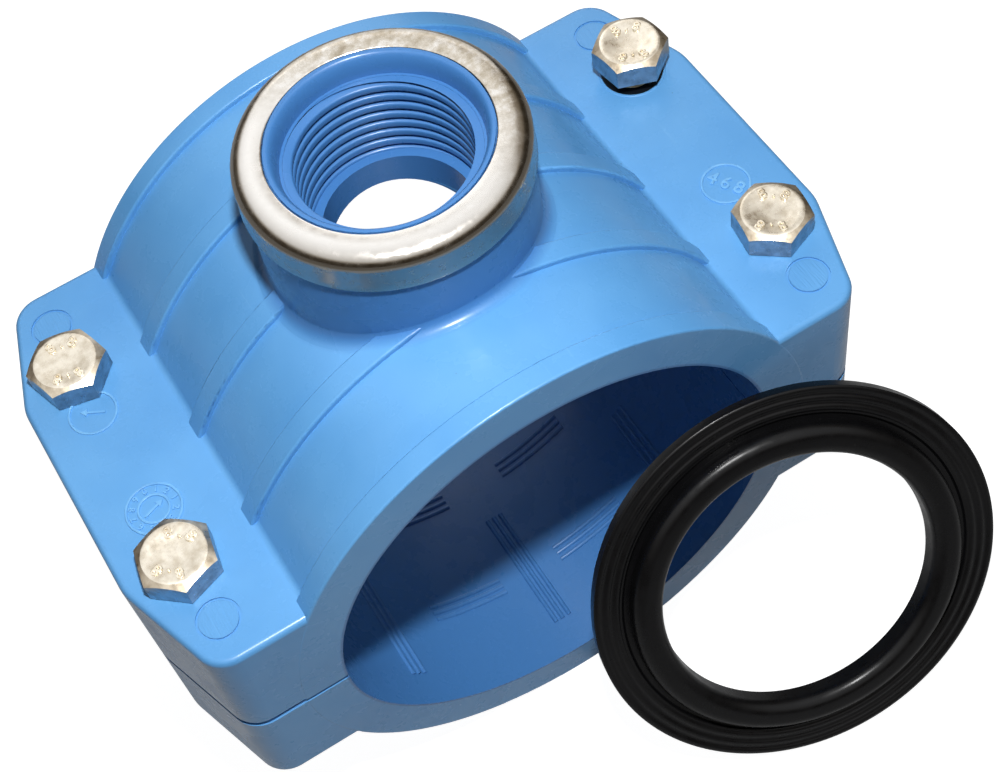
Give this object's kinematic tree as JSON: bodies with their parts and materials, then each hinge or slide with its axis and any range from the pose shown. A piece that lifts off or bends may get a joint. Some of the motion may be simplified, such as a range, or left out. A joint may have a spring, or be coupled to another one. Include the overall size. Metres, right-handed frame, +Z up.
{
  "type": "tapping saddle",
  "caption": "Two-part clamp saddle that bolts round a plastic pipe and gives it a threaded branch with a reinforcing ring; its ring gasket stands beside it.",
  "frame": {"origin": "on the pipe's axis, halfway along the saddle", "axes": "+X across the bolt flanges, +Y along the pipe with the taken-out gasket standing at the -Y end, +Z up through the threaded branch"},
  "size_m": [0.1478, 0.1311, 0.1264],
  "materials": {
    "saddle_plastic": "smooth moulded polypropylene with a soft gloss",
    "ring_steel": "pressed stainless steel, satin with drawn marks",
    "bolt_steel": "plated steel, slightly warm and worn",
    "rubber": "black moulded rubber, semi-gloss"
  },
  "bodies": {
    "lower": {"lower_half": "saddle_plastic", "nut_front_left": "bolt_steel", "nut_front_right": "bolt_steel", "nut_back_left": "bolt_steel", "nut_back_right": "bolt_steel", "gasket": "rubber"},
    "upper": {"upper_half": "saddle_plastic", "reinforcing_ring": "ring_steel"},
    "bolt_front_left": {"bolt_front_left": "bolt_steel"},
    "bolt_front_right": {"bolt_front_right": "bolt_steel"},
    "bolt_back_left": {"bolt_back_left": "bolt_steel"},
    "bolt_back_right": {"bolt_back_right": "bolt_steel"}
  },
  "joints": [
    {"name": "halves_part", "type": "slide", "parent": "lower", "child": "upper", "axis": [0, 0, 1], "range_m": [0, 0.06]},
    {"name": "front_left_bolt_draws", "type": "slide", "parent": "upper", "child": "bolt_front_left", "axis": [0, 0, 1], "range_m": [0, 0.045]},
    {"name": "front_right_bolt_draws", "type": "slide", "parent": "upper", "child": "bolt_front_right", "axis": [0, 0, 1], "range_m": [0, 0.045]},
    {"name": "back_left_bolt_draws", "type": "slide", "parent": "upper", "child": "bolt_back_left", "axis": [0, 0, 1], "range_m": [0, 0.045]},
    {"name": "back_right_bolt_draws", "type": "slide", "parent": "upper", "child": "bolt_back_right", "axis": [0, 0, 1], "range_m": [-0.0031, 0.042]}
  ]
}
